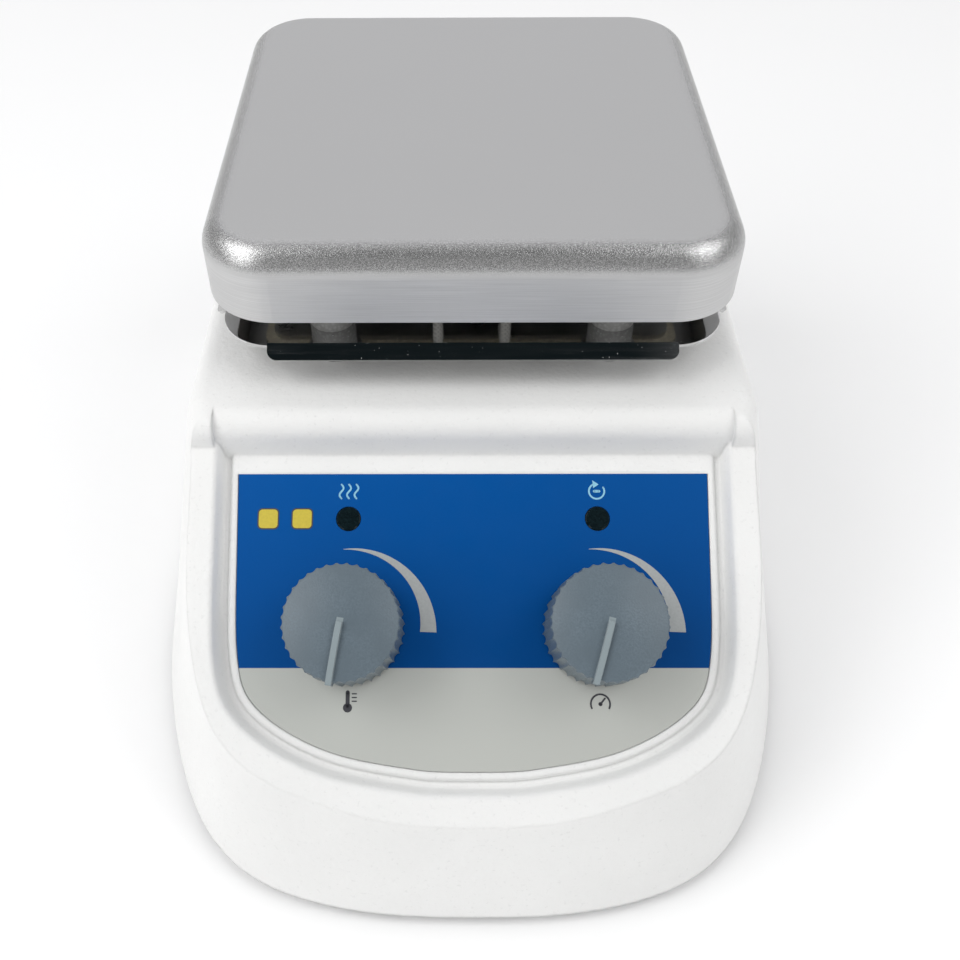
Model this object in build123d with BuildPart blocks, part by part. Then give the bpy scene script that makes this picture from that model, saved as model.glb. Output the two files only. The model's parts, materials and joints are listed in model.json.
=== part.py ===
from build123d import *
import os
from math import cos, radians, sin, tan

# Magnetic stirrer with a heated plate. Millimetres, +Z up, +Y to the back, the front faces -Y.
# The origin is on the table, under the middle of the housing.

os.makedirs("parts", exist_ok=True)

# ---- driving dimensions ----
FOOT_HEIGHT = 3.0
DECK_Z = 79.0                 # top of the housing, under the heat shield
PLATE_TOP_Z = 114.0
HALF_LENGTH = 110.5           # housing base, front to back
HALF_WIDTH = 81.5             # housing base, side to side
DECK_HALF_WIDTH = 64.8
DECK_REAR_Y = 107.0
WALL = 3.0

PLATE_Y = 43.2                # middle of the plate, the shield and the motor
PLATE_SIZE = 120.0
PLATE_HEIGHT = 17.8
PLATE_CORNER = 16.0
PLATE_EDGE_ROUND = 6.4
PLATE_THICKNESS = 8.0
PLATE_SKIRT = 4.0

SHIELD_TOP_Z = 89.0
SHIELD_WIDTH = 115.0
SHIELD_LENGTH = 118.0
SHIELD_SHEET = 0.8
SHIELD_FLANGE = 3.4           # length of each bent flange
SHIELD_FLANGE_HALF = 46.4     # half of the front and rear flanges' width
SHIELD_SIDE_HALF = 45.0       # half of the side flanges' width

PANEL_SLOPE = 31.0            # degrees from horizontal
PANEL_TOP_Y = -31.8           # where the sloped rim meets the nose of the deck
PANEL_TOP_Z = 72.0
PAD_DEPTH = 3.6               # from the rim down to the pad that carries the label
GROOVE_DEPTH = 4.6
LABEL_THICKNESS = 0.5
NOSE_CREASE_Y = -24.8         # where the deck starts to round down into the panel pocket

KNOB_X = 27.6
KNOB_V = 40.3                 # distances down the slope from the nose are called v
KNOB_RADIUS = 12.8
KNOB_HEIGHT = 20.0
KNOB_SCALLOPS = 36
KNOB_GAP = 0.8                # between the label and the knob
HEAT_KNOB_CLOCK = 190.0       # pointer angle at rest, clockwise from straight up the slope
SPEED_KNOB_CLOCK = 195.0
LAMP_X = 28.2
LAMP_V = 15.4
LAMP_RADIUS = 2.75

POST_X = 32.3                 # spacers that carry the plate, from its middle
POST_Y = 49.0
POST_RADIUS = 5.25
LOWER_POST_RADIUS = 4.0
LEAD_X = 8.0                  # heater leads, from the middle of the plate
LEAD_Y = 47.0

FOOT_REAR = (66.0, 90.0)
FOOT_FRONT = (52.0, -84.0)
FOOT_RADIUS = 8.0

MOTOR_RADIUS = 21.0
MOTOR_BOTTOM_Z = 22.0
SHAFT_RADIUS = 2.5
RUNNING_GAP = 0.05

REAR_RECESS_DEPTH = 6.0
REAR_RECESS_Z = 28.0
INLET_X = -42.0
FUSE_X = 2.0
SWITCH_X = 36.0

BEYOND = 40.0                 # how far cutting tools reach past the housing

# ---- values worked out from them ----
SLOPE_RUN = cos(radians(PANEL_SLOPE))
SLOPE_DROP = sin(radians(PANEL_SLOPE))
PANEL_NORMAL = (0, -SLOPE_DROP, SLOPE_RUN)
FLOOR_Z = FOOT_HEIGHT                      # lower edge of the housing
BASE_SHEET = 1.5
BASE_TOP_Z = FLOOR_Z + BASE_SHEET
PLATE_BOTTOM_Z = PLATE_TOP_Z - PLATE_HEIGHT
PLATE_WEB_Z = PLATE_TOP_Z - PLATE_THICKNESS
DECK_UNDER_Z = DECK_Z - 3.5
REAR_PANEL_Y = HALF_LENGTH - REAR_RECESS_DEPTH
REAR_INSIDE_Y = REAR_PANEL_Y - WALL


def slope_z(y):
    """Height of the sloped rim plane at a place y."""
    return PANEL_TOP_Z + (y - PANEL_TOP_Y) * tan(radians(PANEL_SLOPE))


def panel_plane(x=0.0, v=0.0, depth=0.0):
    """Plane parallel to the sloped rim, with its local Y up the slope."""
    y = PANEL_TOP_Y - v * SLOPE_RUN + depth * SLOPE_DROP
    z = PANEL_TOP_Z - v * SLOPE_DROP - depth * SLOPE_RUN
    return Plane(origin=(x, y, z), x_dir=(1, 0, 0), z_dir=PANEL_NORMAL)


def profile_plane(plane):
    """Plane through the normal of another one, for profiles that are turned about that normal."""
    return Plane(origin=plane.origin, x_dir=plane.x_dir, z_dir=-plane.y_dir)


def turned(plane, angle):
    """The same plane, turned about its own normal, anticlockwise seen from its front."""
    x_dir = plane.x_dir * cos(radians(angle)) + plane.y_dir * sin(radians(angle))
    return Plane(origin=plane.origin, x_dir=x_dir, z_dir=plane.z_dir)


def turning_axis(plane):
    return Axis(plane.origin, plane.z_dir)


def save(part, name):
    part.label = name
    export_step(part, f"parts/{name}.step")


# ---- housing ----
# Half of the front curve in plan, at the lower edge and at deck height, from the middle to the side.
BASE_FRONT = [(0, -110.5), (20, -109.8), (37, -106.8), (51, -101), (62, -90.8), (70.5, -75.3), (76.4, -57.4),
              (79.7, -41.8), (HALF_WIDTH, -22.8)]
DECK_FRONT = [(0, -86.7), (16, -85.8), (30.6, -83), (42, -81.8), (50, -78.3), (55.5, -68.8), (58.4, -57.4),
              (60.5, -41.8), (DECK_HALF_WIDTH, -22.8)]
REAR_CORNER = 16.0


def plan_outline(front, rear_y, inset=0.0):
    """Plan outline of the housing: curved front, straight sides, rounded rear corners."""
    in_x = (HALF_WIDTH - inset) / HALF_WIDTH
    in_y = (HALF_LENGTH - inset) / HALF_LENGTH
    right = [(x * in_x, y * in_y) for x, y in front]
    left = [(-x, y) for x, y in reversed(right[1:])]
    side_x = right[-1][0]
    with BuildSketch() as outline:
        with BuildLine():
            curve = Spline(*left, *right)
            Polyline(curve @ 1, (side_x, rear_y * in_y), (-side_x, rear_y * in_y), curve @ 0)
        make_face()
        fillet(outline.vertices().group_by(Axis.Y)[-1], REAR_CORNER - inset)
    return outline.sketch


def housing_form(inset=0.0):
    """Solid between the lower edge and the deck, before the front is cut."""
    with BuildPart() as form:
        with BuildSketch(Plane.XY.offset(FLOOR_Z)):
            add(plan_outline(BASE_FRONT, HALF_LENGTH, inset))
        with BuildSketch(Plane.XY.offset(DECK_Z)):
            add(plan_outline(DECK_FRONT, DECK_REAR_Y, inset))
        loft(ruled=True)
    return form.part


# Half of the label's outline in panel coordinates: slightly flared sides and a bowed lower edge.
LABEL_HALF_TOP = 53.5
LABEL_TOP_V = 5.0
LABEL_SIDE = [(52.9, 33.0), (51.8, 48.0), (50.0, 54.0), (46.3, 58.4), (38.2, 63.7), (28.0, 67.6), (14.0, 70.1),
              (0, 70.8)]


def grown_side(margin):
    """The label's side points, each moved outwards by a margin."""
    points = []
    for number, (x, v) in enumerate(LABEL_SIDE):
        before = LABEL_SIDE[max(number - 1, 0)]
        after = LABEL_SIDE[min(number + 1, len(LABEL_SIDE) - 1)]
        along = Vector(after[0] - before[0], after[1] - before[1]).normalized()
        if number == 0:
            along = Vector(0, 1)
        if x == 0:
            along = Vector(-1, 0)
        points.append((x + margin * along.Y, -v + margin * along.X))
    return points


def label_outline(margin=0.0, top_v=LABEL_TOP_V):
    """Label outline, grown by a margin, with its top edge at top_v."""
    right = grown_side(margin)
    side_x, side_y = right[0]
    half_top = LABEL_HALF_TOP + margin
    with BuildSketch() as outline:
        with BuildLine():
            curve = Spline(*right, tangents=[(-0.03, -1), (-1, 0)])
            mirror(curve, about=Plane.YZ)
            Polyline((side_x, side_y), (half_top, -top_v), (-half_top, -top_v), (-side_x, side_y))
        make_face()
    return outline.sketch


NOSE_RADIUS = 5.5
NOSE_FRONT_Y = NOSE_CREASE_Y - NOSE_RADIUS
DECK_FRONT_Y = PANEL_TOP_Y + 0.4
# Depth below the rim and margin around the label, up the soft wall of the pocket.
POCKET_WALL = [(GROOVE_DEPTH, 3.1), (4.0, 3.5), (1.4, 4.2), (0.4, 4.7), (0.0, 5.3), (-BEYOND, 5.3)]
PAD_WALL = [(GROOVE_DEPTH + 1.0, 2.2), (PAD_DEPTH + 0.5, 2.0), (PAD_DEPTH, 1.6)]

# Everything above the sloped rim and in front of the deck is cut away.
with BuildPart() as front_cut:
    with BuildSketch(Plane.XY):
        with Locations((0, DECK_FRONT_Y - 2 * BEYOND)):
            Rectangle(2 * (HALF_WIDTH + BEYOND), 4 * BEYOND)
    extrude(amount=DECK_Z + BEYOND)
    with BuildSketch(Plane.YZ):
        low_y = -HALF_LENGTH - 2 * BEYOND
        with BuildLine():
            Polyline((low_y, slope_z(low_y)), (BEYOND, slope_z(BEYOND)), (BEYOND, -BEYOND * 3),
                     (low_y, -BEYOND * 3), close=True)
        make_face()
    extrude(amount=HALF_WIDTH + BEYOND, both=True, mode=Mode.SUBTRACT)

# The pocket in the rim that holds the label pad, open upwards past the nose of the deck.
with BuildPart() as pocket_cut:
    for depth, margin in POCKET_WALL:
        with BuildSketch(panel_plane(depth=depth)):
            add(label_outline(margin, top_v=-BEYOND / 2))
    loft(ruled=True)
    with BuildSketch(Plane.YZ):
        with BuildLine():
            Line((NOSE_CREASE_Y, DECK_Z + BEYOND), (NOSE_CREASE_Y, DECK_Z))
            JernArc((NOSE_CREASE_Y, DECK_Z), (-1, 0), NOSE_RADIUS, 90)
            Polyline((NOSE_FRONT_Y, DECK_Z - NOSE_RADIUS), (NOSE_FRONT_Y, -BEYOND), (-4 * BEYOND, -BEYOND),
                     (-4 * BEYOND, DECK_Z + BEYOND), (NOSE_CREASE_Y, DECK_Z + BEYOND))
        make_face()
    extrude(amount=HALF_WIDTH + BEYOND, both=True, mode=Mode.INTERSECT)

# The pad inside the pocket, which the label lies on.
with BuildPart() as label_pad:
    for depth, margin in PAD_WALL:
        with BuildSketch(panel_plane(depth=depth)):
            add(label_outline(margin, top_v=-12.0))
    loft(ruled=True)

# The hollow inside, with walls of even thickness and a ceiling that follows the panel.
CEILING_DEPTH = GROOVE_DEPTH + WALL
CEILING_STEP_Y = NOSE_CREASE_Y + 5.0
CEILING_FRONT_Y = -HALF_LENGTH - 10.0
CEILING_DROP = CEILING_DEPTH / SLOPE_RUN
with BuildPart() as cavity:
    add(housing_form(WALL))
    with BuildSketch(Plane.YZ):
        with BuildLine():
            Polyline((REAR_INSIDE_Y, -BEYOND), (REAR_INSIDE_Y, 46), (REAR_INSIDE_Y + 3, 49),
                     (REAR_INSIDE_Y + 3, DECK_UNDER_Z), (CEILING_STEP_Y, DECK_UNDER_Z),
                     (CEILING_STEP_Y, slope_z(CEILING_STEP_Y) - CEILING_DROP),
                     (CEILING_FRONT_Y, slope_z(CEILING_FRONT_Y) - CEILING_DROP), (CEILING_FRONT_Y, -BEYOND),
                     close=True)
        make_face()
    extrude(amount=HALF_WIDTH, both=True, mode=Mode.INTERSECT)

BOSS_RADIUS = 4.5
BOSS_TOPS = {FOOT_REAR: 50.0, FOOT_FRONT: 35.0}
FEET = {
    "front_left": (-FOOT_FRONT[0], FOOT_FRONT[1]),
    "front_right": FOOT_FRONT,
    "rear_left": (-FOOT_REAR[0], FOOT_REAR[1]),
    "rear_right": FOOT_REAR,
}
M4 = 1.95                     # radius of an M4 screw's shank
M4_CLEAR = 2.2
M4_THREAD = 2.0
DECK_HOLE_RADIUS = 38.0       # the drive magnets turn inside it
BRACKET_PILLAR = 34.0         # places of the motor bracket's pillars, from the middle of the plate
BRACKET_TOP_Z = 68.0
BUSHING_HOLE = 3.6
INLET_BODY = (27.0, 19.6)
INLET_SCREW_X = 20.0
FUSE_BODY_RADIUS = 6.0
SWITCH_BODY = (12.8, 18.8)
FIT = 0.2                     # gap around parts that drop into cut-outs


def level(z, x=0.0, y=PLATE_Y):
    """Horizontal plane at a height, by default on the plate's middle."""
    return Plane(origin=(x, y, z), z_dir=(0, 0, 1))


def rear_plane(x=0.0, y=REAR_PANEL_Y):
    """Upright plane on the rear panel, facing forward, with its local Y up."""
    return Plane(origin=(x, y, REAR_RECESS_Z), x_dir=(1, 0, 0), z_dir=(0, -1, 0))


with BuildPart() as housing_shell:
    add(housing_form())
    add(front_cut.part, mode=Mode.SUBTRACT)
    fillet(housing_shell.faces().sort_by(Axis.Z)[-1].edges(), 4.5)
    add(pocket_cut.part, mode=Mode.SUBTRACT)
    add(label_pad.part)
    add(cavity.part, mode=Mode.SUBTRACT)
    # bosses for the case screws and pillars for the motor bracket
    for (x, y), top in BOSS_TOPS.items():
        with BuildSketch(Plane.XY.offset(BASE_TOP_Z)):
            with Locations((x, y), (-x, y)):
                Circle(BOSS_RADIUS)
        extrude(amount=top - BASE_TOP_Z)
        with BuildSketch(Plane.XY.offset(BASE_TOP_Z)):
            with Locations((x, y), (-x, y)):
                Circle(M4_THREAD)
        extrude(amount=16, mode=Mode.SUBTRACT)
    with BuildSketch(level(BRACKET_TOP_Z)):
        with GridLocations(2 * BRACKET_PILLAR, 2 * BRACKET_PILLAR, 2, 2):
            Circle(BOSS_RADIUS)
    extrude(amount=DECK_UNDER_Z - BRACKET_TOP_Z + 0.5)
    with BuildSketch(level(BRACKET_TOP_Z)):
        with GridLocations(2 * BRACKET_PILLAR, 2 * BRACKET_PILLAR, 2, 2):
            Circle(M4_THREAD)
    extrude(amount=6, mode=Mode.SUBTRACT)
    # holes in the deck
    with BuildSketch(level(DECK_UNDER_Z - 1)):
        Circle(DECK_HOLE_RADIUS)
        with GridLocations(2 * POST_X, 2 * POST_Y, 2, 2):
            Circle(M4_CLEAR)
        with Locations((LEAD_X, -LEAD_Y), (-LEAD_X, -LEAD_Y)):
            Circle(2.6)
    extrude(amount=BEYOND, mode=Mode.SUBTRACT)
    # seat of the label and the holes in the panel
    with BuildSketch(panel_plane(depth=PAD_DEPTH + LABEL_THICKNESS)):
        add(label_outline(FIT))
    extrude(amount=2, mode=Mode.SUBTRACT)
    with BuildSketch(panel_plane(v=KNOB_V, depth=CEILING_DEPTH + 1)):
        with Locations((KNOB_X, 0), (-KNOB_X, 0)):
            Circle(BUSHING_HOLE)
        with Locations((LAMP_X, KNOB_V - LAMP_V), (-LAMP_X, KNOB_V - LAMP_V)):
            Circle(LAMP_RADIUS + 0.1)
    extrude(amount=10, mode=Mode.SUBTRACT)
    # recess at the rear with its cut-outs
    with BuildSketch(rear_plane()):
        RectangleRounded(140, 32, 4)
    extrude(amount=-BEYOND, mode=Mode.SUBTRACT)
    with BuildSketch(rear_plane()):
        with Locations((INLET_X, 0)):
            Rectangle(INLET_BODY[0] + 2 * FIT, INLET_BODY[1] + 2 * FIT)
        with Locations((INLET_X - INLET_SCREW_X, 0), (INLET_X + INLET_SCREW_X, 0)):
            Circle(1.6)
        with Locations((FUSE_X, 0)):
            Circle(FUSE_BODY_RADIUS + FIT)
        with Locations((SWITCH_X, 0)):
            Rectangle(SWITCH_BODY[0] + 2 * FIT, SWITCH_BODY[1] + 2 * FIT)
    extrude(amount=2 * WALL, mode=Mode.SUBTRACT)
save(housing_shell.part, "housing_shell")


# ---- base ----
with BuildPart() as base_plate:
    with BuildSketch(Plane.XY.offset(FLOOR_Z)):
        add(plan_outline(BASE_FRONT, HALF_LENGTH, WALL + 0.8))
        with Locations((0, REAR_INSIDE_Y - 0.3 - HALF_LENGTH)):
            Rectangle(2 * HALF_WIDTH, 2 * HALF_LENGTH, mode=Mode.INTERSECT)
        with Locations(*FEET.values()):
            Circle(M4_CLEAR, mode=Mode.SUBTRACT)
        with Locations((0, PLATE_Y)):
            with GridLocations(0, 9, 1, 5):
                SlotOverall(46, 3.2, mode=Mode.SUBTRACT)
    extrude(amount=BASE_SHEET)
save(base_plate.part, "base_plate")

FOOT_WEB_Z = 2.0
with BuildPart() as rubber_feet:
    with BuildSketch():
        with Locations(*FEET.values()):
            Circle(FOOT_RADIUS)
    extrude(amount=FOOT_HEIGHT)
    chamfer(rubber_feet.faces().group_by(Axis.Z)[0].edges(), 0.6)
    with BuildSketch():
        with Locations(*FEET.values()):
            Circle(4.4)
    extrude(amount=FOOT_WEB_Z, mode=Mode.SUBTRACT)
    with BuildSketch():
        with Locations(*FEET.values()):
            Circle(M4_CLEAR)
    extrude(amount=FOOT_HEIGHT, mode=Mode.SUBTRACT)
save(rubber_feet.part, "rubber_feet")

with BuildPart() as case_screws:
    with BuildSketch(Plane.XY.offset(0.5)):
        with Locations(*FEET.values()):
            Circle(3.8)
    extrude(amount=FOOT_WEB_Z - 0.5)
    with BuildSketch(Plane.XY.offset(FOOT_WEB_Z)):
        with Locations(*FEET.values()):
            Circle(M4)
    extrude(amount=15)
    with BuildSketch(Plane.XY.offset(0.5)):
        with Locations(*FEET.values()):
            Rectangle(4.6, 0.9)
            Rectangle(0.9, 4.6)
    extrude(amount=1.0, mode=Mode.SUBTRACT)
save(case_screws.part, "case_screws")


# ---- heated plate ----
STUD_PLACE = 20.0             # studs that hold the element, from the middle
STUD_BOTTOM_Z = 98.6
BOSS_BOTTOM_Z = 97.0
with BuildPart() as hot_plate:
    with BuildSketch(level(PLATE_BOTTOM_Z)):
        RectangleRounded(PLATE_SIZE, PLATE_SIZE, PLATE_CORNER)
    extrude(amount=PLATE_HEIGHT)
    fillet(hot_plate.faces().sort_by(Axis.Z)[-1].edges(), PLATE_EDGE_ROUND)
    with BuildSketch(level(PLATE_BOTTOM_Z)):
        inner = PLATE_SIZE - 2 * PLATE_SKIRT
        RectangleRounded(inner, inner, PLATE_CORNER - PLATE_SKIRT)
    extrude(amount=PLATE_WEB_Z - PLATE_BOTTOM_Z, mode=Mode.SUBTRACT)
    with BuildSketch(level(BOSS_BOTTOM_Z)):
        with GridLocations(2 * POST_X, 2 * POST_Y, 2, 2):
            Circle(6.4)
    extrude(amount=PLATE_WEB_Z - BOSS_BOTTOM_Z)
    with BuildSketch(level(STUD_BOTTOM_Z)):
        with GridLocations(2 * STUD_PLACE, 2 * STUD_PLACE, 2, 2):
            Circle(M4)
    extrude(amount=PLATE_WEB_Z - STUD_BOTTOM_Z)
    with BuildSketch(level(BOSS_BOTTOM_Z)):
        with GridLocations(2 * POST_X, 2 * POST_Y, 2, 2):
            Circle(M4_THREAD)
    extrude(amount=8, mode=Mode.SUBTRACT)
save(hot_plate.part, "hot_plate")


def plate_sheet(top_z, thickness, size_x, size_y):
    """Flat sheet under the plate's web, with holes for the four studs."""
    with BuildPart() as sheet:
        with BuildSketch(level(top_z - thickness)):
            RectangleRounded(size_x, size_y, 4)
            with GridLocations(2 * STUD_PLACE, 2 * STUD_PLACE, 2, 2):
                Circle(M4_CLEAR, mode=Mode.SUBTRACT)
        extrude(amount=thickness)
    return sheet.part


ELEMENT_THICKNESS = 1.6
MICA_THICKNESS = 0.8
CLAMP_THICKNESS = 1.2
MICA_TOP_Z = PLATE_WEB_Z - ELEMENT_THICKNESS
CLAMP_TOP_Z = MICA_TOP_Z - MICA_THICKNESS
CLAMP_BOTTOM_Z = CLAMP_TOP_Z - CLAMP_THICKNESS
save(plate_sheet(PLATE_WEB_Z, ELEMENT_THICKNESS, 100, 80), "heating_element")
save(plate_sheet(MICA_TOP_Z, MICA_THICKNESS, 102, 82), "mica_pad")
save(plate_sheet(CLAMP_TOP_Z, CLAMP_THICKNESS, 98, 78), "clamp_plate")

with BuildPart() as clamp_nuts:
    with BuildSketch(level(CLAMP_BOTTOM_Z - 3.2)):
        with GridLocations(2 * STUD_PLACE, 2 * STUD_PLACE, 2, 2):
            RegularPolygon(4.04, 6)
            Circle(M4_THREAD, mode=Mode.SUBTRACT)
    extrude(amount=3.2)
save(clamp_nuts.part, "clamp_nuts")

with BuildPart() as thermal_cutout:
    with BuildSketch(level(CLAMP_BOTTOM_Z - 5.4)):
        Circle(8)
    extrude(amount=5.4)
    with BuildSketch(level(CLAMP_BOTTOM_Z - 1.0)):
        SlotOverall(30, 11)
        Circle(8, mode=Mode.SUBTRACT)
    extrude(amount=1.0)
    with BuildSketch(level(CLAMP_BOTTOM_Z - 8.4)):
        with Locations((0, 4), (0, -4)):
            Rectangle(4.8, 0.8)
    extrude(amount=3.0)
save(thermal_cutout.part, "thermal_cutout")


# ---- heat shield and spacers ----
FLANGE_ANGLE = 36.0           # down from level


def flange_plane(turn, reach):
    """Plane of one bent flange, on the shield's edge, with its local Y towards the middle and up."""
    side = turned(Plane(origin=(0, PLATE_Y, SHIELD_TOP_Z), z_dir=(0, 0, 1)), turn)
    edge = side.origin - side.y_dir * reach
    lean = side.z_dir * cos(radians(FLANGE_ANGLE)) - side.y_dir * sin(radians(FLANGE_ANGLE))
    return Plane(origin=edge, x_dir=side.x_dir, z_dir=lean)


def flange_sheet(plane, half):
    """One bent flange with rounded outer corners."""
    with BuildPart() as sheet:
        with BuildSketch(plane) as flange:
            with Locations((0, 0.3 - SHIELD_FLANGE / 2)):
                Rectangle(2 * half, SHIELD_FLANGE + 0.6)
            fillet(flange.vertices().group_by(Axis.Y)[0], 2.2)
        extrude(amount=-SHIELD_SHEET)
    return sheet.part


with BuildPart() as heat_shield:
    with BuildSketch(level(SHIELD_TOP_Z - SHIELD_SHEET)):
        RectangleRounded(SHIELD_WIDTH, SHIELD_LENGTH, 12)
    extrude(amount=SHIELD_SHEET)
    for turn in (0, 180):
        add(flange_sheet(flange_plane(turn, SHIELD_LENGTH / 2), SHIELD_FLANGE_HALF))
    for turn in (90, 270):
        add(flange_sheet(flange_plane(turn, SHIELD_WIDTH / 2), SHIELD_SIDE_HALF))
    with BuildSketch(level(SHIELD_TOP_Z - SHIELD_SHEET)):
        with GridLocations(2 * POST_X, 2 * POST_Y, 2, 2):
            Circle(M4_CLEAR)
        with Locations((LEAD_X, -LEAD_Y), (-LEAD_X, -LEAD_Y)):
            Circle(1.9)
    extrude(amount=SHIELD_SHEET, mode=Mode.SUBTRACT)
save(heat_shield.part, "heat_shield")


def spacers(low_z, high_z, radius):
    """The four round spacers around the plate screws."""
    with BuildPart() as tubes:
        with BuildSketch(level(low_z)):
            with GridLocations(2 * POST_X, 2 * POST_Y, 2, 2):
                Circle(radius)
                Circle(M4_CLEAR, mode=Mode.SUBTRACT)
        extrude(amount=high_z - low_z)
    return tubes.part


save(spacers(DECK_Z, SHIELD_TOP_Z - SHIELD_SHEET, LOWER_POST_RADIUS), "lower_spacers")
save(spacers(SHIELD_TOP_Z, BOSS_BOTTOM_Z, POST_RADIUS), "upper_spacers")

with BuildPart() as plate_screws:
    with BuildSketch(level(DECK_UNDER_Z - 2.6)):
        with GridLocations(2 * POST_X, 2 * POST_Y, 2, 2):
            Circle(3.5)
    extrude(amount=2.6)
    with BuildSketch(level(DECK_UNDER_Z)):
        with GridLocations(2 * POST_X, 2 * POST_Y, 2, 2):
            Circle(M4)
    extrude(amount=28)
    with BuildSketch(level(DECK_UNDER_Z - 2.6)):
        with GridLocations(2 * POST_X, 2 * POST_Y, 2, 2):
            RegularPolygon(1.7, 6)
    extrude(amount=1.5, mode=Mode.SUBTRACT)
save(plate_screws.part, "plate_screws")

BOARD_Y = -45.0
BOARD_SIZE = (96.0, 58.0)
BOARD_BOTTOM_Z = 10.5
BOARD_SHEET = 1.6
BOARD_TOP_Z = BOARD_BOTTOM_Z + BOARD_SHEET
TERMINAL_REAR_Y = -19.0
LEAD_RADIUS = 1.2
LEAD_BEND = 5.0


def wires(routes, radius, bend):
    """Round wires, each along straight runs joined by arcs of one radius."""
    with BuildPart() as leads:
        for points in routes:
            with BuildLine() as route:
                FilletPolyline(*points, radius=bend)
            with BuildSketch(Plane(origin=route.line @ 0, z_dir=route.line % 0)):
                Circle(radius)
            sweep(path=route.line)
    return leads.part


LEAD_TOP_Z = 100.9
LEAD_LOW_Z = 17.0
HEATER_ROUTE = [(PLATE_Y - 37, LEAD_TOP_Z), (PLATE_Y - LEAD_Y, LEAD_TOP_Z), (PLATE_Y - LEAD_Y, LEAD_LOW_Z),
                (TERMINAL_REAR_Y, LEAD_LOW_Z)]
heater_routes = [[(x, y, z) for y, z in HEATER_ROUTE] for x in (-LEAD_X, LEAD_X)]
save(wires(heater_routes, LEAD_RADIUS, LEAD_BEND), "heater_leads")


# ---- motor and magnetic drive ----
BRACKET_SHEET = 2.0
BRACKET_BOTTOM_Z = BRACKET_TOP_Z - BRACKET_SHEET
MOTOR_SCREW_X = 12.5
MOTOR_WALL = 1.5
BEARING_RADIUS = 4.0
with BuildPart() as motor_bracket:
    with BuildSketch(level(BRACKET_BOTTOM_Z)):
        RectangleRounded(84, 84, 7)
        Circle(8, mode=Mode.SUBTRACT)
        with GridLocations(2 * BRACKET_PILLAR, 2 * BRACKET_PILLAR, 2, 2):
            Circle(M4_CLEAR, mode=Mode.SUBTRACT)
        with Locations((MOTOR_SCREW_X, 0), (-MOTOR_SCREW_X, 0)):
            Circle(1.7, mode=Mode.SUBTRACT)
        with PolarLocations(31, 4):
            Circle(6, mode=Mode.SUBTRACT)
    extrude(amount=BRACKET_SHEET)
save(motor_bracket.part, "motor_bracket")

with BuildPart() as bracket_screws:
    with BuildSketch(level(BRACKET_BOTTOM_Z - 2.2)):
        with GridLocations(2 * BRACKET_PILLAR, 2 * BRACKET_PILLAR, 2, 2):
            Circle(3.4)
    extrude(amount=2.2)
    with BuildSketch(level(BRACKET_BOTTOM_Z)):
        with GridLocations(2 * BRACKET_PILLAR, 2 * BRACKET_PILLAR, 2, 2):
            Circle(M4)
    extrude(amount=7)
save(bracket_screws.part, "bracket_screws")

CAN_BOTTOM_Z = MOTOR_BOTTOM_Z + 2.0
with BuildPart() as motor_can:
    with BuildSketch(level(CAN_BOTTOM_Z)):
        Circle(MOTOR_RADIUS)
    extrude(amount=BRACKET_BOTTOM_Z - CAN_BOTTOM_Z)
    with BuildSketch(level(CAN_BOTTOM_Z)):
        Circle(MOTOR_RADIUS - MOTOR_WALL)
    extrude(amount=BRACKET_BOTTOM_Z - CAN_BOTTOM_Z - 2.0, mode=Mode.SUBTRACT)
    with BuildSketch(level(BRACKET_BOTTOM_Z - 2.0)):
        Circle(BEARING_RADIUS)
        with Locations((MOTOR_SCREW_X, 0), (-MOTOR_SCREW_X, 0)):
            Circle(1.5)
    extrude(amount=2.0, mode=Mode.SUBTRACT)
save(motor_can.part, "motor_can")

with BuildPart() as motor_screws:
    with BuildSketch(level(BRACKET_BOTTOM_Z - 2.0)):
        with Locations((MOTOR_SCREW_X, 0), (-MOTOR_SCREW_X, 0)):
            Circle(1.45)
    extrude(amount=2.0 + BRACKET_SHEET)
    with BuildSketch(level(BRACKET_TOP_Z)):
        with Locations((MOTOR_SCREW_X, 0), (-MOTOR_SCREW_X, 0)):
            Circle(2.7)
    extrude(amount=1.8)
save(motor_screws.part, "motor_screws")

with BuildPart() as motor_end_bell:
    with BuildSketch(level(MOTOR_BOTTOM_Z)):
        Circle(MOTOR_RADIUS)
        Circle(BEARING_RADIUS, mode=Mode.SUBTRACT)
    extrude(amount=2.0)
    with BuildSketch(level(CAN_BOTTOM_Z)):
        Circle(BEARING_RADIUS + 2)
        Circle(BEARING_RADIUS, mode=Mode.SUBTRACT)
    extrude(amount=3.0)
save(motor_end_bell.part, "motor_end_bell")


with BuildPart() as motor_bearings:
    for low_z, height in ((MOTOR_BOTTOM_Z, 5.0), (62.0, 6.5)):
        with BuildSketch(level(low_z)):
            Circle(BEARING_RADIUS)
            Circle(SHAFT_RADIUS + RUNNING_GAP, mode=Mode.SUBTRACT)
        extrude(amount=height)
save(motor_bearings.part, "motor_bearings")

with BuildPart() as field_magnets:
    with BuildSketch(level(34)):
        Circle(MOTOR_RADIUS - MOTOR_WALL)
        Circle(15.5, mode=Mode.SUBTRACT)
        Rectangle(12, 2 * MOTOR_RADIUS, mode=Mode.SUBTRACT)
    extrude(amount=24)
save(field_magnets.part, "field_magnets")

with BuildPart() as motor_brushes:
    with BuildSketch(level(28.2)):
        with Locations((7.3, 0), (-7.3, 0)):
            Rectangle(5, 3)
    extrude(amount=3.6)
save(motor_brushes.part, "motor_brushes")

with BuildPart() as motor_shaft:
    with BuildSketch(level(MOTOR_BOTTOM_Z - 1)):
        Circle(SHAFT_RADIUS)
    extrude(amount=DECK_Z + 1 - MOTOR_BOTTOM_Z)
    chamfer(motor_shaft.edges().group_by(Axis.Z)[-1], 0.4)
save(motor_shaft.part, "motor_shaft")


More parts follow.
